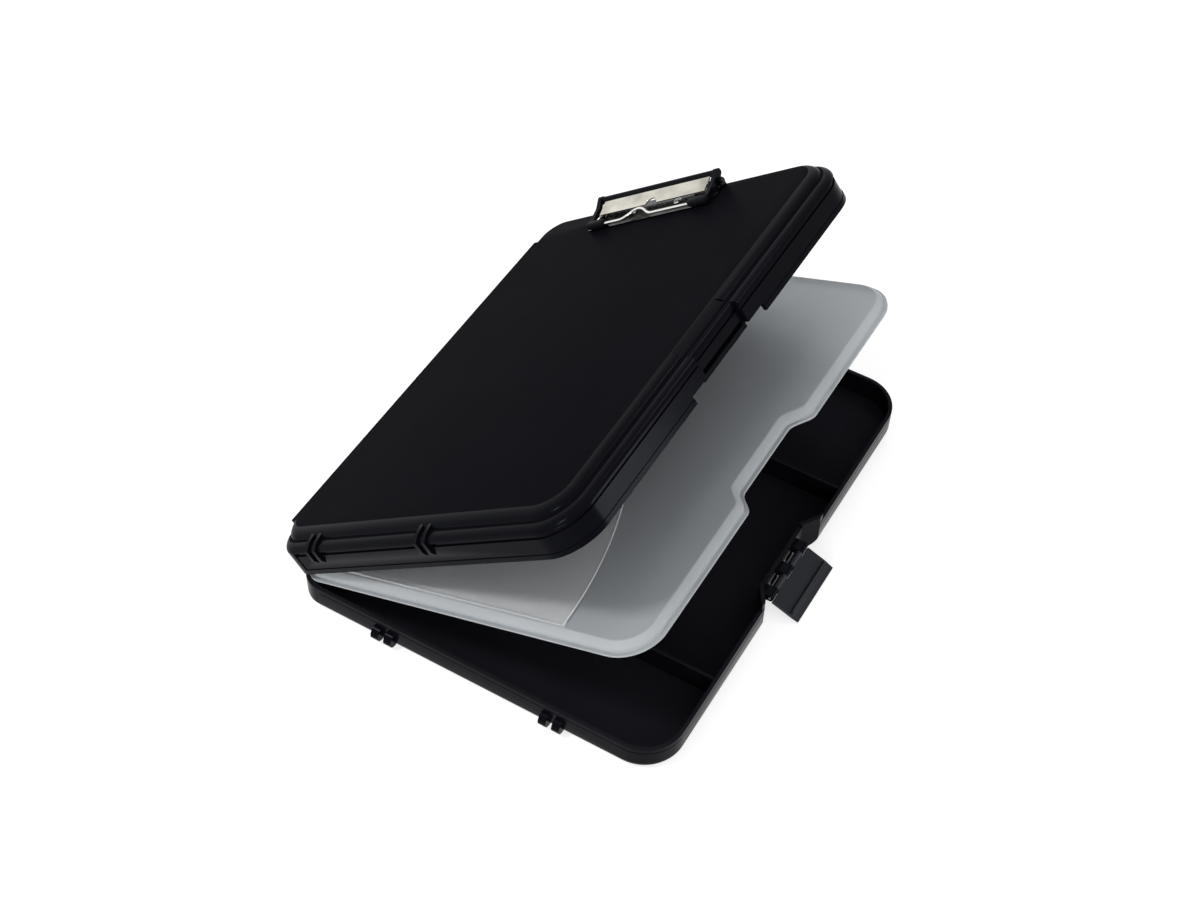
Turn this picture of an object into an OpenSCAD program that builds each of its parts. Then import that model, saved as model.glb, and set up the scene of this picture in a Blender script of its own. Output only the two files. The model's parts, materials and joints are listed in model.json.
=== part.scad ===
/* [Case] */
// Width of the case, from the hinge side to the latch side
case_w = 262; // [256:1:280]
// Length of the case, from its foot to the clip edge
case_l = 340; // [330:1:370]
// Height of the tray
tray_h = 20; // [19:0.5:28]
// Height of the lid from its rim to the writing board
lid_h = 24.5; // [23:0.5:27]
// Thickness of the side walls
wall = 2.6; // [2.2:0.1:3]
// Thickness of the tray floor
floor_t = 2.4; // [2:0.1:4]
// Thickness of the writing board
board_t = 2.6; // [2:0.1:3.2]
// Corner radius on the latch side
corner_open = 27; // [22:1:34]
// Corner radius on the hinge side
corner_hinge = 16; // [10:1:18]
// Height between the two rims, where the leaf lies
rim_gap = 2; // [1.8:0.1:2.6]

/* [Shell trim] */
// Width of the sloped shoulder on the foot and latch sides of the lid
shoulder_w = 17; // [15:0.5:19]
// Width of the rounded edge on the clip side of the lid
far_edge_w = 4.2; // [3:0.1:5]
// Height of the shoulder, from the trim groove to the board
shoulder_h = 7.5; // [6.5:0.1:8.5]
// Width of the trim groove in the lid
groove_w = 3; // [2:0.1:3.4]
// Depth of the trim groove in the lid
groove_d = 1.6; // [0.8:0.1:1.7]
// Height of the rim flange of each shell
flange_h = 3.2; // [2:0.1:4]
// How far the rim flange stands out of the wall above it
flange_step = 0.5; // [0.3:0.1:0.7]
// Width of the rounded bottom edge of the tray
foot_edge_w = 5.5; // [4:0.5:7]
// Height of the rounded bottom edge of the tray
foot_edge_h = 5.5; // [4:0.5:7]

/* [Compartments] */
// Thickness of the dividers
divider_t = 2; // [1.5:0.1:3]
// How far the dividers end below the tray rim
divider_drop = 0.8; // [0.5:0.1:2]
// Length of the pencil compartment, along the case
pencil_l = 66; // [55:1:80]
// Length of the key compartment, along the case
key_l = 94; // [80:1:105]

/* [Hinge] */
// Radius of the steel hinge pin
pin_r = 1.2; // [1:0.05:1.4]
// Radial clearance between a pin and its bores
pin_play = 0.05; // [0.03:0.01:0.08]
// Outer radius of the hinge knuckles
knuckle_r = 2.9; // [2.7:0.05:3]
// Length of a tray knuckle
tray_knuckle_l = 20; // [16:1:22]
// Length of a lid knuckle
lid_knuckle_l = 24; // [18:1:26]
// Length of a leaf knuckle
leaf_knuckle_l = 10; // [8:1:11]
// Number of lid knuckles
lid_knuckles = 4; // [3:1:4]
// Gap between neighbouring knuckles
knuckle_gap = 0.4; // [0.3:0.05:0.6]
// Clearance around the parts of another body
clear = 0.4; // [0.3:0.05:0.5]
// Length of the hinge strip
hinge_zone = 292; // [285:1:300]
// Distance from the outer face of the case to the hinge axis
hinge_out = 0.5; // [0.4:0.1:0.8]

/* [Leaf] */
// Thickness of the flange of the leaf
leaf_flange_t = 1.4; // [1.1:0.1:1.4]
// Thickness of the floor and the side of the leaf
leaf_t = 1.2; // [1:0.1:1.5]
// Height of the leaf, from the underside of its flange to its flat top
leaf_rise = 7.6; // [6.5:0.1:8.5]
// Width of the slanted band around the top of the leaf
leaf_band_w = 3.2; // [2.4:0.1:3.8]
// How far the leaf stays inside the case outline
leaf_inset = 1; // [0.8:0.1:1.6]
// Width of the pocket on the leaf, from the hinge side
pocket_w = 194; // [150:1:200]
// Height of the pocket on the leaf, from its foot
pocket_l = 205; // [180:1:230]
// How far the free edge of the pocket bows back towards the hinge
pocket_bow = 78; // [40:1:90]
// Distance of the pocket from the slanted band of the leaf
pocket_in = 1.5; // [1.4:0.1:4]
// Thickness of the pocket film
film_t = 0.5; // [0.4:0.05:0.8]
// Height of the space in the pocket
pocket_gap = 1.2; // [1:0.1:1.6]

/* [Latch] */
// Length of the latch, along the case
latch_l = 50; // [46:1:50]
// Height of the latch from its pin to its tip
latch_h = 23.8; // [23.2:0.1:24]
// Thickness of the latch plate
latch_t = 2.4; // [2:0.1:2.5]
// Radius of the latch pin
latch_pin_r = 1; // [0.8:0.05:1.2]
// Outer radius of the latch knuckles
latch_knuckle_r = 2.6; // [2.4:0.05:2.7]
// Height of the latch pin above the table
latch_z = 11.5; // [11.3:0.1:12]
// Depth of the bay for the latch in the tray wall
bay_d = 7.5; // [7.2:0.1:8]
// Half length of the bay at its mouth
bay_out = 39; // [37:0.5:42]
// Reach of the latch tooth towards the case
tooth_d = 3; // [2.4:0.1:3.2]
// Thickness of the latch tooth
tooth_t = 2.2; // [1.8:0.1:2.3]
// Height of the catch ledge in the lid above the lid rim
catch_z = 5; // [4.8:0.1:5.4]

/* [Clip] */
// Distance of the clip from the middle of the case, towards the hinge
clip_off = 20; // [10:1:30]
// Half width of the clip, from its middle to its outer ears
clip_half = 57.5; // [54:0.5:62]
// Depth of the clip plate along the case
clip_plate_d = 23; // [22:0.5:26]
// Thickness of the clip plate
clip_plate_t = 1; // [0.8:0.1:1.2]
// Radius of the clip rod
rod_r = 1.2; // [1:0.05:1.3]
// Height of the clip rod above the board
rod_up = 4.6; // [4.5:0.1:5.2]
// Distance of the clip rod from the edge of the case
rod_in = 7; // [6.6:0.1:8]
// Thickness of the lever sheet
lever_t = 1; // [0.8:0.1:1.2]
// Radius of the lever bar
bar_r = 2.2; // [1.8:0.1:2.5]
// Radius of the jaw wire
wire_r = 1; // [0.8:0.05:1.1]
// Reach of the jaw wire in front of the clip rod
wire_reach = 19; // [17:0.5:21]
// Depth of the hump in the jaw wire
hump_d = 7; // [4:0.5:8]
// Width of the hump in the jaw wire
hump_w = 30; // [24:1:40]
// Distance of the hump from the middle of the clip, towards the hinge
hump_off = 10; // [0:1:14]
// Length of each rubber grip
grip_l = 16; // [12:0.5:18]

/* [Position] */
// Angle of the leaf above the tray
leaf_angle = 20; // [0:1:80]
// Angle between the lid and the leaf
lid_angle = 18; // [0:1:90]
// Angle by which the latch hangs open
latch_angle = 112; // [0:1:112]

/* [Hidden] */
$fn = 48;
eps = 0.05;
far = 400;

// Case outline
x_hinge = -case_w / 2;
x_open = case_w / 2;
y_foot = -case_l / 2;
y_clip = case_l / 2;

// Heights of the closed case
lid_z = tray_h + rim_gap;
board_z = lid_z + lid_h;
shoulder_z = lid_h - shoulder_h;
groove_z = shoulder_z - groove_w;
nose_w = 0.36;
nose_h = 0.5;
crown_at = 0.5;
nose_inner = 6.4;
crown_inner = 13;
board_corner_in = 9;

// Hinge
hinge_x = x_hinge - hinge_out;
hinge_z = tray_h + rim_gap / 2;
bore_r = pin_r + pin_play;
tray_step = hinge_x + knuckle_r + clear + 0.2;
strip_x = hinge_x - knuckle_r;
pitch = tray_knuckle_l + lid_knuckle_l + 2 * leaf_knuckle_l;
hinge_l = lid_knuckles * pitch + tray_knuckle_l;
pin_head_r = 2;
pin_head_t = 1;
lid_strip_z = lid_z + 2.4;

fin_r = 5.6;
foot_fin_t = 5.4;
foot_fin_pitch = 9.4;
foot_fin_at = [x_hinge + 66, x_open - 75];
fin_t = 2.8;
fin_pitch = 7.4;
fin_out = 1.5;
fin_at = [x_hinge + 36, x_hinge + 141];

// Latch bay: the outer face of the tray wall steps in towards the bay
bay_x = x_open - bay_d;
bay_in = latch_l / 2 + 2;
bay_slope = (bay_out - bay_in) / bay_d;
bay_shift = sqrt(1 + bay_slope * bay_slope);
bay_over = 5;
latch_x = x_open - 0.8 - latch_knuckle_r;
latch_bore_r = latch_pin_r + pin_play;
lug_l = 8;
latch_knuckle_y = (latch_l - lug_l) / 4;
catch_x = latch_x + latch_knuckle_r - latch_t - 0.6;
catch_cut_in = latch_l / 2 + 0.8;
catch_cut_out = bay_out + 4;
catch_cut_z = 5;
catch_band_z = 2;
slot_h = tooth_t + 1;
catch_roll = 4;
catch_top_w = 13.5;
catch_groove_d = 1.2;
catch_block_t = 5.7;
window_l = 10;
window_h = 8;
slot_l = latch_l - 2;
tooth_z = lid_z + catch_z + 0.3;
bay_top = lid_z + catch_band_z - 0.6;
bay_side_top = lid_z + catch_cut_z - 0.6;

// Leaf
leaf_z = hinge_z - leaf_flange_t / 2;
leaf_left = x_hinge + 3.5;
leaf_side = wall + 0.8;
leaf_rim = leaf_side - leaf_inset;
leaf_round = 0.4;
leaf_wall_h = leaf_rise - leaf_band_w - 2 * leaf_round;
notch_gap = 1.7;
pocket_x = leaf_left + leaf_rim + leaf_band_w + pocket_in;
pocket_y = y_foot + leaf_side + leaf_band_w + pocket_in;
pocket_weld = 3;

// Clip
clip_x = -clip_off;
rod_y = y_clip - rod_in;
rod_z = board_z + rod_up;
rod_bore_r = rod_r + pin_play;
plate_back_y = y_clip - far_edge_w - 0.3;
grip_gap = 0.3;
wire_front_y = rod_y - wire_reach;
wire_front_z = board_z + clip_plate_t + grip_gap + 0.9 + wire_r;
ear_t = 1.6;
ear_r = 2.5;
ear_tab = 6;
plate_corner = 3;
lever_notch_r = 5;
arm_t = 3.4;
arm_r = 2.6;
arm_x = clip_half - ear_t - 0.5 - arm_t;
eye_x = arm_x - 0.5 - wire_r;
spring_l = 6;
spring_x = eye_x - wire_r - 1 - spring_l;
lever_half = eye_x - wire_r - 0.5;
lever_top = [rod_y + 3.8, rod_z + 4.4];
lever_low = [rod_y - 10, rod_z + 0.4];
lever_knuckle_r = 2.3;
lever_knuckle_l = 12;
rivet_r = 1.6;
rivet_at = 20;
rivet_y = rod_y - 7;
rivet_head_r = 3;
rivet_head_t = 0.9;
spring_wire_r = 0.5;
spring_r = rod_r + 0.2 + spring_wire_r;
spring_turns = 4;
grip_r = 1.6;

// ---------- shared shapes ----------

// Rounded outline of the case, drawn in by a distance on each side
module plan(left = 0, right = 0, foot = 0, clip = 0, ro = corner_open, rh = corner_hinge) {
    x0 = x_hinge + left;
    x1 = x_open - right;
    y0 = y_foot + foot;
    y1 = y_clip - clip;
    translate([x0 + rh, y0]) square([x1 - ro - x0 - rh, y1 - y0]);
    translate([x0, y0 + rh]) square([x1 - ro - x0, y1 - y0 - 2 * rh]);
    translate([x0 + rh, y0 + ro]) square([x1 - x0 - rh, y1 - y0 - 2 * ro]);
    for (y = [y0 + rh, y1 - rh]) translate([x0 + rh, y]) circle(rh);
    for (y = [y0 + ro, y1 - ro]) translate([x1 - ro, y]) circle(ro);
}

module even_plan(d, left = 0) {
    plan(max(d, left), d, d, d, corner_open - d, max(corner_hinge - d, 2));
}

// A bent round wire through a list of points; up is never along the wire
module wire(points, r, up, sides = 10) {
    last = len(points) - 1;
    rings = [for (i = [0 : last]) let (
        v = points[min(i + 1, last)] - points[max(i - 1, 0)],
        a = cross(v, up) / norm(cross(v, up)),
        b = cross(a, v) / norm(v))
        for (k = [0 : sides - 1]) points[i] + r * (a * cos(360 * k / sides) + b * sin(360 * k / sides))];
    walls = [for (i = [0 : last - 1]) for (k = [0 : sides - 1]) let (a = i * sides, m = (k + 1) % sides)
        [a + k, a + m, a + sides + m, a + sides + k]];
    ends = [[for (k = [sides - 1 : -1 : 0]) k], [for (k = [0 : sides - 1]) last * sides + k]];
    polyhedron(rings, concat(walls, ends));
}

// Poses of the moving bodies about the hinge axis
module swing(angle) {
    translate([hinge_x, 0, hinge_z]) rotate([0, -angle, 0]) translate([-hinge_x, 0, -hinge_z]) children();
}

module on_leaf() { swing(leaf_angle) children(); }
module on_lid() { swing(leaf_angle + lid_angle) children(); }

module along_y(y, l) {
    translate([0, y, 0]) rotate([90, 0, 0]) translate([0, 0, -l / 2]) linear_extrude(l) children();
}

// Middles of the knuckles of each body along the hinge
tray_knuckle_y = [for (i = [0 : lid_knuckles]) -hinge_l / 2 + tray_knuckle_l / 2 + i * pitch];
lid_knuckle_y = [for (i = [0 : lid_knuckles - 1]) tray_knuckle_y[i] + pitch / 2];
leaf_knuckle_y = [for (y = lid_knuckle_y) for (s = [-1, 1]) y + s * (lid_knuckle_l + leaf_knuckle_l) / 2];

module knuckles(ys, l, r, extra = 0) {
    for (y = ys) along_y(y, l + extra) translate([hinge_x, hinge_z]) circle(r);
}

// The bay in the latch side, drawn out past the case; grow moves its faces towards the case
module bay(grow = 0) {
    x = bay_x - grow;
    yi = bay_in + grow * (bay_shift - bay_slope);
    yo = bay_out + grow * bay_shift + bay_over * bay_slope;
    polygon([[x_open + bay_over, -yo], [x, -yi], [x, yi], [x_open + bay_over, yo]]);
}

// ---------- tray ----------

module tray_body() {
    translate([0, 0, foot_edge_h]) linear_extrude(tray_h - foot_edge_h) even_plan(0);
    hull() for (t = [0 : 18 : 90])
        translate([0, 0, (foot_edge_h - eps) * (1 - cos(t))])
            linear_extrude(eps) even_plan(foot_edge_w * (1 - sin(t)), $fn = 96);
}

module compartment(y0, y1) {
    translate([0, 0, floor_t]) linear_extrude(far) difference() {
        intersection() {
            even_plan(wall, tray_step - x_hinge + wall);
            translate([-far / 2, y0]) square([far, y1 - y0]);
        }
        bay(wall);
    }
}

// Two round fins that the tray stands on when it is set on its foot
module tray_fins(x) {
    for (dx = [-1, 1])
        translate([x + (dx * foot_fin_pitch - foot_fin_t) / 2, 0, 0]) rotate([90, 0, 90])
            linear_extrude(foot_fin_t) {
            translate([y_foot + 0.8, fin_r + 1]) circle(fin_r);
            translate([y_foot, 2]) square([2, 2 * fin_r - 2]);
        }
}

// Wall around the latch bay up to a height, from a distance off its middle outwards
module bay_wall(top, from) {
    to = catch_cut_out - 0.8;
    translate([0, 0, foot_edge_h]) linear_extrude(top - foot_edge_h) intersection() {
        even_plan(0.3);
        bay(wall);
        for (s = [-1, 1]) translate([0, s * (from + to) / 2]) square([far, to - from], center = true);
    }
}

module tray_shell() {
    pencil_y = y_foot + wall + pencil_l;
    key_y = y_clip - wall - key_l;
    lug_y = (latch_l - lug_l) / 2;
    color("#232327") difference() {
        union() {
            difference() {
                union() {
                    difference() {
                        tray_body();
                        compartment(-far, pencil_y);
                        compartment(pencil_y + divider_t, key_y - divider_t);
                        compartment(key_y, far);
                        // dividers end below the rim
                        translate([0, 0, tray_h - divider_drop]) linear_extrude(far) difference() {
                            even_plan(wall, tray_step - x_hinge + wall);
                            bay(wall);
                        }
                        // groove under the rim flange
                        translate([0, 0, tray_h - flange_h - 1]) linear_extrude(1) difference() {
                            translate([tray_step + corner_hinge, -far / 2]) square([far, far]);
                            even_plan(1);
                        }
                        // hinge side stands back along the hinge strip
                        translate([-far + tray_step, -hinge_zone / 2, -1]) cube([far, hinge_zone, far]);
                    }
                    bay_wall(bay_top, 0);
                    bay_wall(bay_side_top, bay_in);
                }
                // the bay is open to the outside and below
                translate([0, 0, -1]) linear_extrude(far) bay(0);
            }
            // lugs for the latch pin
            for (y = [-lug_y, 0, lug_y]) along_y(y, lug_l) {
                translate([latch_x, latch_z]) circle(latch_knuckle_r);
                translate([bay_x - 1, latch_z - latch_knuckle_r])
                    square([latch_x - bay_x + 1, 2 * latch_knuckle_r]);
            }
            // hinge knuckles
            knuckles(tray_knuckle_y, tray_knuckle_l, knuckle_r);
            for (y = tray_knuckle_y) along_y(y, tray_knuckle_l)
                translate([hinge_x, hinge_z - knuckle_r])
                    square([tray_step + 0.5 - hinge_x, knuckle_r - 1.2]);
            for (x = foot_fin_at) tray_fins(x);
        }
        // windows beside the latch knuckles
        for (s = [-1, 1]) translate([bay_x - wall / 2, s * latch_knuckle_y, latch_z + 0.5])
            cube([wall + 1, window_l, window_h], center = true);
        knuckles(tray_knuckle_y, tray_knuckle_l, bore_r, 1);
        along_y(0, latch_l + 1) translate([latch_x, latch_z]) circle(latch_bore_r);
    }
}

module hinge_pin() {
    color("#b9bcc0") {
        along_y(0, hinge_l + 2 * knuckle_gap) translate([hinge_x, hinge_z]) circle(pin_r);
        for (s = [-1, 1]) along_y(s * (hinge_l / 2 + knuckle_gap + pin_head_t / 2), pin_head_t)
            translate([hinge_x, hinge_z]) circle(pin_head_r);
    }
}

// ---------- latch ----------

module latch_pin() {
    color("#b9bcc0") along_y(0, latch_l) translate([latch_x, latch_z]) circle(latch_pin_r);
}

module latch_plate() {
    gap_l = (latch_l - 3 * lug_l) / 2 - 2 * knuckle_gap;
    x1 = latch_x + latch_knuckle_r;
    x0 = x1 - latch_t;
    tip_z = latch_z + latch_h;
    root_z = latch_z + latch_knuckle_r + clear;
    color("#232327") translate([latch_x, 0, latch_z]) rotate([0, latch_angle, 0])
        translate([-latch_x, 0, -latch_z])
        difference() {
            union() {
                along_y(0, latch_l) polygon([
                    [x0, root_z], [x1, root_z], [x1, tooth_z + tooth_t + 1], [x1 - 0.5, tip_z],
                    [x1 - 1.4, tip_z], [x0 + 0.4, tooth_z + tooth_t + 1], [x0, tooth_z + tooth_t]]);
                // tooth that reaches over the catch ledge of the lid
                along_y(0, latch_l - 4) polygon([
                    [x0 + 0.5, tooth_z], [x0 - tooth_d + 0.8, tooth_z], [x0 - tooth_d, tooth_z + 0.7],
                    [x0, tooth_z + tooth_t], [x0 + 0.5, tooth_z + tooth_t]]);
                for (s = [-1, 1]) along_y(s * latch_knuckle_y, gap_l) {
                    translate([latch_x, latch_z]) circle(latch_knuckle_r);
                    translate([x0, latch_z]) square([latch_t, root_z - latch_z + 0.5]);
                }
            }
            along_y(0, latch_l + 1) translate([latch_x, latch_z]) circle(latch_bore_r);
        }
}

// ---------- leaf ----------

// Outline of the leaf at a distance inside its edge, with a notch around the latch bay
function arc(x, y, r, a0, step) =
    [for (i = [0 : 90 / step]) let (a = a0 + i * step) [x + r * cos(a), y + r * sin(a)]];
function leaf_outline(d) = let (
    x0 = leaf_left + d,
    x1 = x_open - leaf_inset - d,
    y0 = y_foot + leaf_inset + d,
    y1 = y_clip - leaf_inset - d,
    ro = corner_open - leaf_inset - d,
    rh = max(corner_hinge - leaf_inset - d, 2),
    grow = wall + notch_gap + d,
    xn = bay_x - grow,
    yn = bay_in + grow * (bay_shift - bay_slope),
    ramp = [for (i = [0 : 12]) [xn + (x1 - xn) * (1 - cos(15 * i)) / 2, yn + (x1 - xn) * bay_slope * i / 12]])
    concat(
        arc(x0 + rh, y0 + rh, rh, 180, 6),
        arc(x1 - ro, y0 + ro, ro, 270, 5),
        [for (i = [12 : -1 : 0]) [ramp[i][0], -ramp[i][1]]],
        ramp,
        arc(x1 - ro, y1 - ro, ro, 0, 5),
        arc(x0 + rh, y1 - rh, rh, 90, 6));

// The leaf is a shallow cap, open below: flange, upright wall, slanted band and flat top
module leaf_cap() {
    outer = [
        [0, 0],
        [0, leaf_flange_t],
        [leaf_rim, leaf_flange_t],
        [leaf_rim, leaf_wall_h],
        [leaf_rim + 0.8 * leaf_round, leaf_wall_h + 1.8 * leaf_round],
        [leaf_rim + leaf_band_w, leaf_rise - leaf_round],
        [leaf_rim + leaf_band_w + leaf_round, leaf_rise - 0.3 * leaf_round],
        [leaf_rim + leaf_band_w + 3 * leaf_round, leaf_rise]];
    inner = [
        [leaf_rim + leaf_band_w + 0.8 * leaf_t, leaf_rise - leaf_t],
        [leaf_rim + leaf_t, leaf_wall_h - leaf_round / 2],
        [leaf_rim + leaf_t, 0]];
    levels = concat(outer, inner);
    n = len(leaf_outline(0));
    points = [for (v = levels) for (p = leaf_outline(v[0])) [p[0], p[1], leaf_z + v[1]]];
    walls = [for (k = [0 : len(levels) - 1]) if (k != len(outer) - 1) for (i = [0 : n - 1])
        let (a = k * n, b = ((k + 1) % len(levels)) * n, j = (i + 1) % n)
        each [[a + i, b + i, b + j], [a + i, b + j, a + j]]];
    top = [for (i = [n - 1 : -1 : 0]) (len(outer) - 1) * n + i];
    under = [for (i = [0 : n - 1]) len(outer) * n + i];
    polyhedron(points, concat(walls, [top, under]));
}

module leaf_panel() {
    color("#c9d1d6", 0.6) on_leaf() difference() {
        union() {
            leaf_cap();
            for (y = leaf_knuckle_y) {
                along_y(y, leaf_knuckle_l - 2 * knuckle_gap) translate([hinge_x, hinge_z]) circle(knuckle_r);
                along_y(y, leaf_knuckle_l - 2 * knuckle_gap)
                    translate([hinge_x, leaf_z]) square([leaf_left + 1 - hinge_x, leaf_flange_t]);
            }
        }
        knuckles(leaf_knuckle_y, leaf_knuckle_l, bore_r, 1);
    }
}

// Film pocket, with a slanted and bowed free edge towards the latch side
module pocket_plan() {
    steps = 16;
    edge = [for (i = [0 : steps]) let (u = i / steps)
        [pocket_x + pocket_w - pocket_bow * u * u, pocket_y + u * pocket_l]];
    polygon(concat([[pocket_x, pocket_y]], edge, [[pocket_x, pocket_y + pocket_l]]));
}

module leaf_pocket() {
    z = leaf_z + leaf_rise;
    color("#dfe3e6", 0.5) on_leaf() {
        translate([0, 0, z + pocket_gap]) linear_extrude(film_t) pocket_plan();
        translate([0, 0, z]) linear_extrude(pocket_gap + film_t / 2) intersection() {
            pocket_plan();
            union() {
                translate([pocket_x - 1, pocket_y - 1]) square([far, pocket_weld + 1]);
                translate([pocket_x - 1, pocket_y - 1]) square([pocket_weld + 1, far]);
            }
        }
    }
}

// ---------- lid ----------

// Levels of the two rolls of the shoulder, from below: share of its width and share of its height
nose_levels = [for (t = [0 : 15 : 90]) [nose_w * (1 - cos(t)), nose_h * sin(t)]];
crown_levels = concat(
    [for (t = [0 : 15 : 75]) [crown_at + (1 - crown_at) * (1 - cos(t)), nose_h + (1 - nose_h) * sin(t)]],
    [[1, 1]]);

module shoulder_roll(levels) {
    hull() for (lv = levels)
        translate([0, 0, shoulder_z + (shoulder_h - eps) * lv[1] - eps]) linear_extrude(2 * eps)
            plan(0.4 * lv[1], shoulder_w * lv[0], shoulder_w * lv[0], far_edge_w * lv[0],
                 corner_open - board_corner_in * lv[0], corner_hinge - 2 * lv[0], $fn = 96);
}

module lid_body() {
    linear_extrude(shoulder_z) even_plan(0);
    shoulder_roll(nose_levels);
    shoulder_roll(crown_levels);
}

module lid_cavity() {
    inner_left = wall;
    translate([0, 0, -1]) linear_extrude(groove_z + 0.2) even_plan(wall);
    translate([0, 0, -1]) linear_extrude(shoulder_z + 1.2)
        plan(inner_left, nose_inner, nose_inner, wall + 0.8, corner_open - 6, corner_hinge - 4);
    translate([0, 0, -1]) linear_extrude(lid_h - board_t + 1)
        plan(inner_left, crown_inner, crown_inner, wall + 2.2, corner_open - board_corner_in, corner_hinge - 4);
}

// A pair of fins across the foot shoulder of the lid
module lid_fins(x) {
    for (dx = [-1, 1])
        translate([x + dx * fin_pitch / 2 - fin_t / 2, 0, 0]) rotate([90, 0, 90]) linear_extrude(fin_t)
            polygon([[y_foot + shoulder_w - 3, lid_h - 2.3], [y_foot + 0.6 * shoulder_w, lid_h - 1.1],
                     [y_foot + 0.2 * shoulder_w, lid_h - 2.4], [y_foot - fin_out, lid_h - 5.2],
                     [y_foot - fin_out, groove_z - 2.5], [y_foot + 0.6, groove_z - 6],
                     [y_foot + 2, groove_z - 6], [y_foot + 2, groove_z]]);
}

// Bay in the latch side of the lid, with the slot that the latch tooth enters
module catch_bay() {
    along_y(0, 2 * catch_cut_in) polygon(concat(
        [[catch_x, -2], [catch_x, groove_z + 0.3], [catch_x - catch_groove_d, groove_z + 0.3]],
        [[catch_x - catch_groove_d, shoulder_z]],
        [for (a = [0 : 12 : 60]) [catch_x - catch_roll * (1 - cos(a)), shoulder_z + catch_roll * sin(a)]],
        [[catch_x - catch_top_w, lid_h + 0.5], [x_open + 5, lid_h + 0.5], [x_open + 5, -2]]));
    translate([latch_x + latch_knuckle_r - latch_t - tooth_d - 0.6, -slot_l / 2, catch_z])
        cube([far, slot_l, slot_h]);
    // the rim ends higher beside the latch than behind it
    translate([catch_x - 6, -catch_cut_out, -1]) cube([far, catch_cut_out - catch_cut_in, catch_cut_z + 1]);
    translate([catch_x - 6, catch_cut_in, -1]) cube([far, catch_cut_out - catch_cut_in, catch_cut_z + 1]);
    translate([catch_x - 6, -catch_cut_out, -1]) cube([far, 2 * catch_cut_out, catch_band_z + 1]);
}

module lid_shell() {
    color("#232327") on_lid() difference() {
        union() {
            translate([0, 0, lid_z]) {
                difference() {
                    union() {
                        lid_body();
                        // strip over the hinge
                        translate([strip_x, clear - hinge_zone / 2, 3])
                            cube([wall + x_hinge - strip_x, hinge_zone - 2 * clear, lid_h - 3]);
                    }
                    difference() {
                        lid_cavity();
                        // solid block behind the catch
                        translate([catch_x - catch_block_t, -catch_cut_in - 3, -2])
                            cube([far, 2 * catch_cut_in + 6, far]);
                    }
                    // trim groove, and the wall below it down to the rim flange
                    for (band = [[groove_z, groove_w, groove_d],
                                 [flange_h, groove_z - flange_h + eps, flange_step]])
                        translate([0, 0, band[0]]) linear_extrude(band[1]) difference() {
                            translate([x_hinge + corner_hinge, -far / 2]) square([far, far]);
                            even_plan(band[2]);
                        }
                    // room for the knuckles of the tray and the leaf
                    translate([-far + x_hinge + wall, -hinge_zone / 2, -1])
                        cube([far, hinge_zone, lid_strip_z - lid_z + 1]);
                    catch_bay();
                }
                for (x = fin_at) lid_fins(x);
            }
            knuckles(lid_knuckle_y, lid_knuckle_l, knuckle_r, -2 * knuckle_gap);
            for (y = lid_knuckle_y) along_y(y, lid_knuckle_l - 2 * knuckle_gap)
                translate([strip_x, hinge_z]) square([2 * knuckle_r, lid_strip_z - hinge_z + 1]);
        }
        knuckles(lid_knuckle_y, lid_knuckle_l, bore_r, 1);
        for (s = [-1, 1]) translate([clip_x + s * rivet_at, rivet_y, board_z - board_t - 1])
            cylinder(h = board_t + 2, r = rivet_r + pin_play);
    }
}

// ---------- clip ----------

module along_x(x, l) {
    translate([clip_x + x, 0, 0]) rotate([90, 0, 90]) translate([0, 0, -l / 2]) linear_extrude(l) children();
}

module clip_base_plate() {
    corner = plate_corner;
    front_y = plate_back_y - clip_plate_d;
    color("#c8cacc") on_lid() difference() {
        union() {
            translate([clip_x, 0, board_z]) linear_extrude(clip_plate_t) {
                translate([-clip_half, front_y + corner]) square([2 * clip_half, clip_plate_d - corner]);
                translate([-clip_half + corner, front_y]) square([2 * (clip_half - corner), clip_plate_d]);
                for (s = [-1, 1]) translate([s * (clip_half - corner), front_y + corner]) circle(corner);
            }
            for (s = [-1, 1]) along_x(s * (clip_half - ear_t / 2), ear_t) {
                translate([rod_y, rod_z]) circle(ear_r);
                translate([rod_y - ear_r, board_z]) square([2 * ear_r, rod_up]);
                translate([rod_y - ear_tab, board_z])
                    square([plate_back_y - rod_y + ear_tab, clip_plate_t + 1]);
            }
        }
        along_x(0, 4 * clip_half) translate([rod_y, rod_z]) circle(rod_bore_r);
        for (s = [-1, 1]) translate([clip_x + s * rivet_at, rivet_y, board_z - 1])
            cylinder(h = clip_plate_t + 2, r = rivet_r + pin_play);
    }
}

module clip_rod() {
    color("#c8cacc") on_lid() {
        along_x(0, 2 * clip_half + 1) translate([rod_y, rod_z]) circle(rod_r);
        for (s = [-1, 1]) along_x(s * (clip_half + 0.9), 0.8) translate([rod_y, rod_z]) circle(rod_r + 0.7);
    }
}

module clip_rivet(s) {
    plate_top = board_z + clip_plate_t;
    board_low = board_z - board_t;
    color("#c8cacc") on_lid() translate([clip_x + s * rivet_at, rivet_y, 0]) {
        translate([0, 0, board_low]) cylinder(h = plate_top - board_low, r = rivet_r);
        translate([0, 0, plate_top]) rotate_extrude() polygon([
            [0, 0], [rivet_head_r, 0], [rivet_head_r - 0.5, 0.6 * rivet_head_t],
            [rivet_head_r - 1.4, rivet_head_t], [0, rivet_head_t]]);
        translate([0, 0, board_low - 0.7]) cylinder(h = 0.7, r = rivet_head_r);
    }
}

module clip_rivet_left() { clip_rivet(-1); }
module clip_rivet_right() { clip_rivet(1); }

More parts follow.
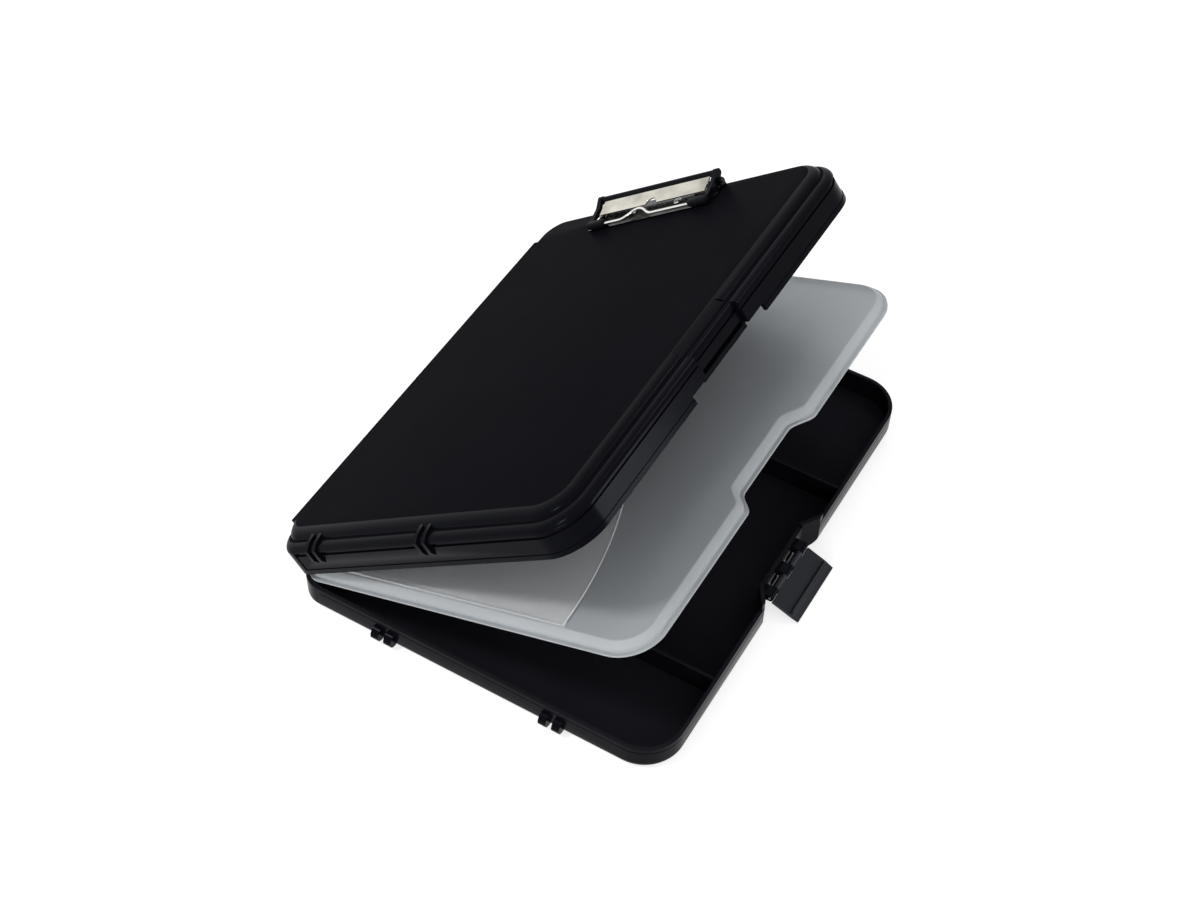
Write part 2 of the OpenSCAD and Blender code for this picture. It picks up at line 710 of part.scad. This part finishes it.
// Coil of round wire about the clip rod, with a leg that rests on the clip plate
module clip_spring(s) {
    per_turn = 12;
    step = (spring_l - 2 * spring_wire_r) / (spring_turns + 0.25);
    coil = [for (i = [-0.25 * per_turn : spring_turns * per_turn]) let (a = 360 * i / per_turn)
        [spring_wire_r + step * (i / per_turn + 0.25), -spring_r * sin(a), -spring_r * cos(a)]];
    back_leg = [spring_wire_r, spring_r, 1];
    front_leg = [spring_l - spring_wire_r, -7.5, board_z + clip_plate_t + spring_wire_r + 0.05 - rod_z];
    color("#c8cacc") on_lid() translate([clip_x + s * spring_x, rod_y, rod_z]) mirror([s < 0 ? 1 : 0, 0, 0])
        wire(concat([back_leg], coil, [front_leg]), spring_wire_r, [1, 0, 0], 8);
}

module clip_spring_left() { clip_spring(-1); }
module clip_spring_right() { clip_spring(1); }

module lever_sheet(grow = 0) {
    v = lever_top - lever_low;
    u = v / norm(v);
    w = [-u[1], u[0]] * (lever_t / 2 + grow);
    polygon([lever_low + w, lever_top + w, lever_top - w, lever_low - w]);
}

module clip_lever_plate() {
    color("#e4e4e2") on_lid() difference() {
        union() {
            along_x(0, 2 * lever_half) lever_sheet();
            for (s = [-1, 1]) along_x(s * (spring_x - 1 - lever_knuckle_l / 2), lever_knuckle_l) {
                translate([rod_y, rod_z]) circle(lever_knuckle_r);
                translate([rod_y - 1.2, rod_z]) square([2.4, 3.2]);
            }
        }
        along_x(0, 4 * clip_half) translate([rod_y, rod_z]) circle(rod_bore_r);
        // half-round notch for a nail, in the lower edge
        translate([clip_x, lever_low[0] - 0.5, board_z]) cylinder(h = far, r = lever_notch_r);
    }
}

module clip_lever_bar() {
    color("#232327") on_lid() difference() {
        along_x(0, 2 * arm_x) translate(lever_top) circle(bar_r);
        along_x(0, 2 * lever_half + 0.1) lever_sheet(0.02);
    }
}

// Points of the jaw wire from one eye, round the front, to the other eye
wire_corner = 4;
wire_eye_r = rod_bore_r + wire_r;
wire_side = concat(
    [[eye_x, rod_y - 0.7 * wire_eye_r, rod_z - 0.7 * wire_eye_r]],
    [for (a = [0 : 15 : 90]) [eye_x - wire_corner * (1 - cos(a)),
                              wire_front_y + wire_corner * (1 - sin(a)), wire_front_z]]);
wire_points = concat(
    wire_side,
    [for (i = [9 : -1 : -9]) let (h = (1 + cos(20 * i)) / 2)
        [i * hump_w / 18 - hump_off, wire_front_y + hump_d * h, wire_front_z + 1.6 * h]],
    [for (i = [len(wire_side) - 1 : -1 : 0]) [-wire_side[i][0], wire_side[i][1], wire_side[i][2]]]);

module clip_jaw_wire() {
    color("#c8cacc") on_lid() translate([clip_x, 0, 0]) {
        wire(wire_points, wire_r, [0, 0, 1]);
        for (s = [-1, 1]) translate([s * eye_x, rod_y, rod_z]) rotate([0, 90, 0])
            rotate_extrude() translate([wire_eye_r, 0]) circle(wire_r, $fn = 24);
    }
}

module clip_arm(s) {
    front = wire_front_y + 3.5;
    low = board_z + clip_plate_t + 0.4;
    color("#232327") on_lid() along_x(s * (arm_x + arm_t / 2), arm_t) difference() {
        union() {
            translate([rod_y, rod_z]) circle(arm_r);
            translate(lever_top) circle(bar_r + 0.5);
            polygon([[front, low], [rod_y, rod_z - arm_r], lever_top + [bar_r, -0.8],
                     lever_top + [-1.6, bar_r], [rod_y - 4, rod_z + 3], [front, low + 3.6]]);
        }
        translate([rod_y, rod_z]) circle(rod_bore_r);
    }
}

module clip_arm_left() { clip_arm(-1); }
module clip_arm_right() { clip_arm(1); }

// Rubber grip over a front corner of the jaw wire
module clip_grip(s) {
    x1 = arm_x + arm_t - grip_r;
    x0 = x1 - grip_l + 2 * grip_r;
    z0 = board_z + clip_plate_t + grip_gap + grip_r;
    color("#1b1b1e") on_lid() translate([clip_x, 0, 0]) difference() {
        hull() for (x = [x0, x1]) for (y = [wire_front_y - 0.9, wire_front_y + 1.8]) for (z = [z0, z0 + 1.4])
            translate([s * x, y, z]) sphere(grip_r, $fn = 16);
        wire(wire_points, wire_r + 0.02, [0, 0, 1]);
    }
}

module clip_grip_left() { clip_grip(-1); }
module clip_grip_right() { clip_grip(1); }

tray_shell();
hinge_pin();
latch_pin();
latch_plate();
leaf_panel();
leaf_pocket();
lid_shell();
clip_base_plate();
clip_rod();
clip_rivet_left();
clip_rivet_right();
clip_spring_left();
clip_spring_right();
clip_lever_plate();
clip_lever_bar();
clip_jaw_wire();
clip_arm_left();
clip_arm_right();
clip_grip_left();
clip_grip_right();
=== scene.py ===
import json
import math

import bmesh
import bpy
from mathutils import Euler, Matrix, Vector

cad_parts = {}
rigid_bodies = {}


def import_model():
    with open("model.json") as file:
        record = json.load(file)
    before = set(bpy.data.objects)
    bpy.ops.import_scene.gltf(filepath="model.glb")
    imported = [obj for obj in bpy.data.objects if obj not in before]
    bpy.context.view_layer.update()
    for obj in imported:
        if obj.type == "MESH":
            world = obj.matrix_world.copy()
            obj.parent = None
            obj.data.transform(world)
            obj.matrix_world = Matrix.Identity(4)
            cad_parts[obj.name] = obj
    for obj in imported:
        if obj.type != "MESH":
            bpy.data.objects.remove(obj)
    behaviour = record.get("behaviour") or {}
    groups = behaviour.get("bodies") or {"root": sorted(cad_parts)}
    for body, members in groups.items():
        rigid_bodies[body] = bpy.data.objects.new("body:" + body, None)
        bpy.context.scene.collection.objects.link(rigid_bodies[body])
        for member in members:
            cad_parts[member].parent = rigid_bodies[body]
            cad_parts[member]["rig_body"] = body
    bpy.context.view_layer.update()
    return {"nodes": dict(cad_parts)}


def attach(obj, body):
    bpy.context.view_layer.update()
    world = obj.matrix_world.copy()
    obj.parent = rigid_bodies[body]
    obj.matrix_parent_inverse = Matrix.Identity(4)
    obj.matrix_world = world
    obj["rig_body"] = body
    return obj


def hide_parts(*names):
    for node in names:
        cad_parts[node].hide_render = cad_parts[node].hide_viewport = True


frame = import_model()
nodes = frame["nodes"]
MM = 0.001

# ---------- camera ----------

CAMERA_AT = Vector((0.385, -0.7224, 1.0293))
CAMERA_TURN = Euler((math.radians(39.918), math.radians(-1.276), math.radians(30.244)), "XYZ")
PICTURE_W = 1200
FOCAL_PX = 1994
SENSOR = 36
NEAREST = 0.01
FARTHEST = 50


def make_camera():
    data = bpy.data.cameras.new("camera")
    data.sensor_width = SENSOR
    data.lens = FOCAL_PX / PICTURE_W * SENSOR
    data.clip_start = NEAREST
    data.clip_end = FARTHEST
    camera = bpy.data.objects.new("camera", data)
    camera.location = CAMERA_AT
    camera.rotation_euler = CAMERA_TURN
    bpy.context.scene.collection.objects.link(camera)
    bpy.context.scene.camera = camera


make_camera()

# ---------- materials ----------

# sockets of Blender's colour Mix node
MIX_FACTOR, MIX_A, MIX_B, MIX_RESULT = 0, 6, 7, 2
# the part of its range that most of a noise value lies in
NOISE_LOW, NOISE_HIGH = 0.3, 0.7
# how coarse the noises are, per metre
CLOUD, HAZE, WEAR, FILM_HAZE = 14, 9, 60, 12
LEAF_WEAR, LEAF_GRAIN = 40, 1800
BLUISH = (0.75, 0.8, 1, 1)
FROSTED_IOR = 1.25
FILM_IOR = 1.15
FILM_TONE = (0.90, 0.91, 0.92, 1)


def new_material(name):
    material = bpy.data.materials.new(name)
    material.use_nodes = True
    return material, material.node_tree, material.node_tree.nodes["Principled BSDF"]


def add_node(tree, kind, inputs=None, **settings):
    node = tree.nodes.new(kind)
    for key, value in settings.items():
        setattr(node, key, value)
    for key, value in (inputs or {}).items():
        if hasattr(value, "links"):
            tree.links.new(value, node.inputs[key])
        else:
            node.inputs[key].default_value = value
    return node


def noise(tree, scale, detail=3.0, stretch=(1, 1, 1)):
    """Noise in the object's own space, scale per metre."""
    where = add_node(tree, "ShaderNodeTexCoord").outputs["Object"]
    placed = add_node(tree, "ShaderNodeMapping", {"Vector": where, "Scale": stretch})
    return add_node(tree, "ShaderNodeTexNoise",
                    {"Vector": placed.outputs[0], "Scale": scale, "Detail": detail}).outputs["Fac"]


def ranged(tree, value, low, high):
    """A noise value spread from low to high."""
    return add_node(tree, "ShaderNodeMapRange",
                    {"Value": value, "From Min": NOISE_LOW, "From Max": NOISE_HIGH, "To Min": low, "To Max": high}).outputs[0]


def mixed(tree, factor, a, b):
    mix = add_node(tree, "ShaderNodeMix", data_type="RGBA")
    tree.links.new(factor, mix.inputs[MIX_FACTOR])
    mix.inputs[MIX_A].default_value = (*a, 1)
    mix.inputs[MIX_B].default_value = (*b, 1)
    return mix.outputs[MIX_RESULT]


def bumped(tree, height, strength, distance):
    return add_node(tree, "ShaderNodeBump",
                    {"Height": height, "Strength": strength, "Distance": distance}).outputs[0]


def moulded(name, colour, rough, gloss, grain=1400, grain_depth=0.04 * MM, grain_strength=0.3, spread=0.08):
    """Moulded plastic: a fine spark-eroded grain, uneven gloss and a little uneven colour."""
    material, tree, shader = new_material(name)
    shader.inputs["Specular IOR Level"].default_value = gloss
    shader.inputs["Specular Tint"].default_value = BLUISH
    cloud = noise(tree, CLOUD, 4)
    light = tuple(min(1, c * (1 + spread)) for c in colour)
    dark = tuple(c * (1 - spread) for c in colour)
    links = tree.links
    links.new(mixed(tree, ranged(tree, cloud, 0, 1), dark, light), shader.inputs["Base Color"])
    links.new(ranged(tree, noise(tree, WEAR, 5), rough - 0.015, rough + 0.02), shader.inputs["Roughness"])
    links.new(bumped(tree, noise(tree, grain, 2), grain_strength, grain_depth), shader.inputs["Normal"])
    return material


def plated(name, colour, rough, brush=(1, 1, 1), scale=300, dull=0.94):
    """Plated or polished steel, with wipe marks that go down to the share dull of its colour."""
    material, tree, shader = new_material(name)
    shader.inputs["Metallic"].default_value = 1
    wipe = noise(tree, scale, 4, brush)
    tree.links.new(mixed(tree, ranged(tree, wipe, 0, 1), tuple(c * dull for c in colour), colour),
                   shader.inputs["Base Color"])
    tree.links.new(ranged(tree, wipe, rough * 0.7, rough * 1.4), shader.inputs["Roughness"])
    tree.links.new(bumped(tree, wipe, 0.05, 0.02 * MM), shader.inputs["Normal"])
    return material


def frosted(name, clear, tone):
    """Frosted translucent plastic; clear is how much light goes through."""
    material, tree, shader = new_material(name)
    shader.inputs["Transmission Weight"].default_value = clear
    shader.inputs["IOR"].default_value = FROSTED_IOR
    cloud = noise(tree, HAZE, 3)
    tree.links.new(mixed(tree, ranged(tree, cloud, 0, 1), tuple(0.96 * c for c in tone), tone),
                   shader.inputs["Base Color"])
    tree.links.new(ranged(tree, noise(tree, LEAF_WEAR, 4), 0.36, 0.46), shader.inputs["Roughness"])
    tree.links.new(bumped(tree, noise(tree, LEAF_GRAIN, 2), 0.3, 0.03 * MM), shader.inputs["Normal"])
    return material


def film(name, clear):
    """Hazy film of the pocket; clear is how much light goes through."""
    material, tree, shader = new_material(name)
    shader.inputs["Transmission Weight"].default_value = clear
    shader.inputs["IOR"].default_value = FILM_IOR
    shader.inputs["Base Color"].default_value = FILM_TONE
    tree.links.new(ranged(tree, noise(tree, FILM_HAZE, 2), 0.29, 0.35), shader.inputs["Roughness"])
    return material


SHELL = moulded("shell_black", (0.0026, 0.0027, 0.0042), 0.19, 0.03, grain_strength=0.12)
BOARD = moulded("board_black", (0.0037, 0.0038, 0.0056), 0.42, 0.003, 900, 0.05 * MM, 0.35)
# painted light: the tray's flat faces are the shell's own plastic, given a colour several times lighter so that the
# floor looks lit
TRAY_FLOOR_PAINTED_LIGHT = moulded("tray_floor_painted_light", (0.0110, 0.0112, 0.0145), 0.45, 0.003, 900, 0.05 * MM, 0.35)
LATCH = moulded("latch_black", (0.012, 0.013, 0.014), 0.3, 0.2)
LEAF = frosted("leaf_frosted", 0.45, (0.57, 0.60, 0.625))
LEAF_EDGE = frosted("leaf_edge", 0.4, (0.58, 0.605, 0.63))
FILM = film("pocket_film", 0.6)
HEM = film("pocket_hem", 0.15)
CHROME = plated("clip_chrome", (0.80, 0.79, 0.77), 0.10)
MIRROR = plated("clip_mirror", (0.90, 0.86, 0.76), 0.1, (0.35, 1, 1), 45, 0.42)
# near-black steel for the clip's base plate and rod: partly a dark finish, partly painted shade, so that the notch in
# the lever shows dark like the shade beneath the lever
DARK_STEEL_PAINTED_SHADE = plated("clip_steel_painted_shade", (0.022, 0.022, 0.025), 0.2)
PIN = plated("pin_steel", (0.56, 0.57, 0.58), 0.28, (1, 0.05, 1), 900)
SPRING = plated("spring_steel", (0.62, 0.62, 0.60), 0.22)
GLOSS = moulded("clip_black", (0.004, 0.004, 0.005), 0.18, 0.06, 1400, 0.02 * MM, 0.2)
RUBBER = moulded("grip_rubber", (0.006, 0.006, 0.007), 0.5, 0.06, 900, 0.06 * MM, 0.5)

# ---------- dressed copies of the solids ----------

# how far the leaf and the lid stand open at rest
LEAF_ANGLE = math.radians(20)
LID_ANGLE = math.radians(38)
WELD_DISTANCE = 0.004 * MM
SAME_PLANE = math.radians(0.5)
CREASE = math.radians(32)
ROUND_CREASE = math.radians(60)


def dressed(node, material, bevel=0.25 * MM, sharp=CREASE, second=None, pick=None):
    """A welded copy of a CAD node with rounded edges and smooth shading, which stands for it.

    The faces that pick chooses, by middle and normal, get the second material.
    """
    source = nodes[node].data
    mesh = bpy.data.meshes.new(node + "_skin")
    mesh.from_pydata([v.co for v in source.vertices], [], [p.vertices[:] for p in source.polygons])
    bm = bmesh.new()
    bm.from_mesh(mesh)
    bmesh.ops.remove_doubles(bm, verts=bm.verts, dist=WELD_DISTANCE)
    bmesh.ops.dissolve_limit(bm, angle_limit=SAME_PLANE, verts=bm.verts, edges=bm.edges)
    for face in bm.faces:
        face.smooth = True
    for edge in bm.edges:
        edge.smooth = len(edge.link_faces) == 2 and edge.calc_face_angle(0) < sharp
    if second:
        for face in bm.faces:
            face.material_index = int(pick(face.calc_center_median(), face.normal))
    bm.to_mesh(mesh)
    bm.free()
    piece = bpy.data.objects.new(node + "_skin", mesh)
    bpy.context.scene.collection.objects.link(piece)
    mesh.materials.append(material)
    if second:
        mesh.materials.append(second)
    if bevel:
        rounding = piece.modifiers.new("rounding", "BEVEL")
        rounding.width = bevel
        rounding.segments = 2
        rounding.limit_method = "ANGLE"
        rounding.angle_limit = sharp
        rounding.harden_normals = True
    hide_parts(node)
    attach(piece, nodes[node]["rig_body"])
    return piece


def level_up(angle):
    """The direction that is up in the closed case, for a body swung by this angle."""
    return Vector((-math.sin(angle), 0, math.cos(angle)))


def flat_to(up, least=0.9995):
    return lambda middle, normal: abs(normal.dot(up)) > least


def slanted_to(up, most=0.97):
    return lambda middle, normal: abs(normal.dot(up)) < most


# the tray's flat faces get the lighter colour, which is painted light on the floor
dressed("tray_shell", SHELL, 0.3 * MM, second=TRAY_FLOOR_PAINTED_LIGHT, pick=flat_to(level_up(0)))
dressed("lid_shell", SHELL, 0.3 * MM, second=BOARD, pick=flat_to(level_up(LID_ANGLE)))
dressed("latch_plate", LATCH, 0.25 * MM)
dressed("leaf_panel", LEAF, 0.12 * MM, second=LEAF_EDGE, pick=slanted_to(level_up(LEAF_ANGLE)))
dressed("leaf_pocket", FILM, 0)
# painted shade: the base plate is dark so that the notch in the lever reads as the shade under it
dressed("clip_base_plate", DARK_STEEL_PAINTED_SHADE, 0.15 * MM)
dressed("clip_lever_plate", MIRROR, 0.15 * MM)
dressed("clip_lever_bar", GLOSS, 0.2 * MM)
dressed("clip_jaw_wire", CHROME, 0, ROUND_CREASE)
for side in ("left", "right"):
    dressed("clip_arm_" + side, GLOSS, 0.3 * MM)
    dressed("clip_grip_" + side, RUBBER, 0.15 * MM)
    dressed("clip_spring_" + side, SPRING, 0, ROUND_CREASE)
    dressed("clip_rivet_" + side, CHROME, 0.1 * MM)
# painted shade: the rod is dark so that it does not show through the notch in the lever
dressed("clip_rod", DARK_STEEL_PAINTED_SHADE, 0.1 * MM)
dressed("hinge_pin", PIN, 0.1 * MM)
dressed("latch_pin", PIN, 0.1 * MM)

# ---------- welded hem along the free edge of the pocket ----------

HINGE = Vector((-0.1315, 0, 0.021))
HEM_R = 0.42 * MM


def hem_points():
    """The free edge of the film's upper face, foot end first."""
    turn = Euler((0, LEAF_ANGLE, 0)).to_matrix()
    points = [turn @ (v.co - HINGE) for v in nodes["leaf_pocket"].data.vertices]
    top = max(p.z for p in points) - 0.01 * MM
    edge = {}
    for p in points:
        if p.z > top and (round(p.y, 5) not in edge or p.x > edge[round(p.y, 5)].x):
            edge[round(p.y, 5)] = p
    back = turn.transposed()
    return [back @ (edge[y] - Vector((HEM_R, 0, 0.3 * HEM_R))) + HINGE for y in sorted(edge)]


def make_hem():
    curve = bpy.data.curves.new("pocket_hem", "CURVE")
    curve.dimensions = "3D"
    curve.bevel_depth = HEM_R
    curve.bevel_resolution = 3
    curve.use_fill_caps = True
    points = hem_points()
    line = curve.splines.new("POLY")
    line.points.add(len(points) - 1)
    for target, point in zip(line.points, points):
        target.co = (*point, 1)
    curve.materials.append(HEM)
    hem = bpy.data.objects.new("pocket_hem", curve)
    bpy.context.scene.collection.objects.link(hem)
    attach(hem, "leaf")


make_hem()

# ---------- floor, backdrop and lights ----------

FLOOR_SIZE = 14
FLOOR_GAP = 0.2 * MM
FLOOR_ROUGH = 0.9
AIM = Vector((0, 0, 0.08))
FLOOR_TONE = 0.5
FLOOR_GLOW = 0.68


def seen_rays(tree):
    """1 for rays from the camera, from gloss and through clear plastic, else 0."""
    path = add_node(tree, "ShaderNodeLightPath").outputs
    total = add_node(tree, "ShaderNodeMath", {0: path["Is Camera Ray"], 1: path["Is Glossy Ray"]}, operation="MAXIMUM")
    return add_node(tree, "ShaderNodeMath", {0: total.outputs[0], 1: path["Is Transmission Ray"]},
                    operation="MAXIMUM").outputs[0]


def make_floor():
    bpy.ops.mesh.primitive_plane_add(size=FLOOR_SIZE, location=(0, 0, -FLOOR_GAP))
    floor = bpy.context.object
    floor.name = "floor"
    material, tree, shader = new_material("floor_pale")
    shader.inputs["Base Color"].default_value = (FLOOR_TONE, FLOOR_TONE, FLOOR_TONE, 1)
    shader.inputs["Roughness"].default_value = FLOOR_ROUGH
    shader.inputs["Specular IOR Level"].default_value = 0
    shader.inputs["Emission Color"].default_value = (1, 1, 1, 1)
    glow = add_node(tree, "ShaderNodeMath", {0: seen_rays(tree), 1: FLOOR_GLOW}, operation="MULTIPLY")
    tree.links.new(glow.outputs[0], shader.inputs["Emission Strength"])
    floor.data.materials.append(material)


def make_lamp(name, place, size, power, colour=(1, 1, 1)):
    """A soft area lamp that faces the middle of the object."""
    data = bpy.data.lights.new(name, "AREA")
    data.shape = "RECTANGLE"
    data.size, data.size_y = size
    data.energy = power
    data.color = colour
    lamp = bpy.data.objects.new(name, data)
    lamp.location = place
    lamp.rotation_euler = (AIM - Vector(place)).to_track_quat("-Z", "Y").to_euler()
    bpy.context.scene.collection.objects.link(lamp)


def make_world(seen=1.0, light=0.65):
    """White where it is seen directly, and a plain soft light on the object."""
    world = bpy.data.worlds.new("studio")
    bpy.context.scene.world = world
    world.use_nodes = True
    tree = world.node_tree
    strength = add_node(tree, "ShaderNodeMapRange", {"Value": seen_rays(tree), "To Min": light, "To Max": seen})
    background = tree.nodes["Background"]
    background.inputs["Color"].default_value = (1, 1, 1, 1)
    tree.links.new(strength.outputs[0], background.inputs["Strength"])


make_floor()
make_world()
make_lamp("key", (-0.75, -0.85, 1.65), (0.3, 0.3), 14)
make_lamp("back", (-0.2, 1.15, 1.7), (0.3, 0.3), 3)
make_lamp("right", (1.7, 0.9, 0.45), (0.25, 0.6), 5)
make_lamp("front", (0.55, -1.2, 0.42), (0.6, 0.3), 6)

bpy.context.scene.view_settings.view_transform = "Standard"
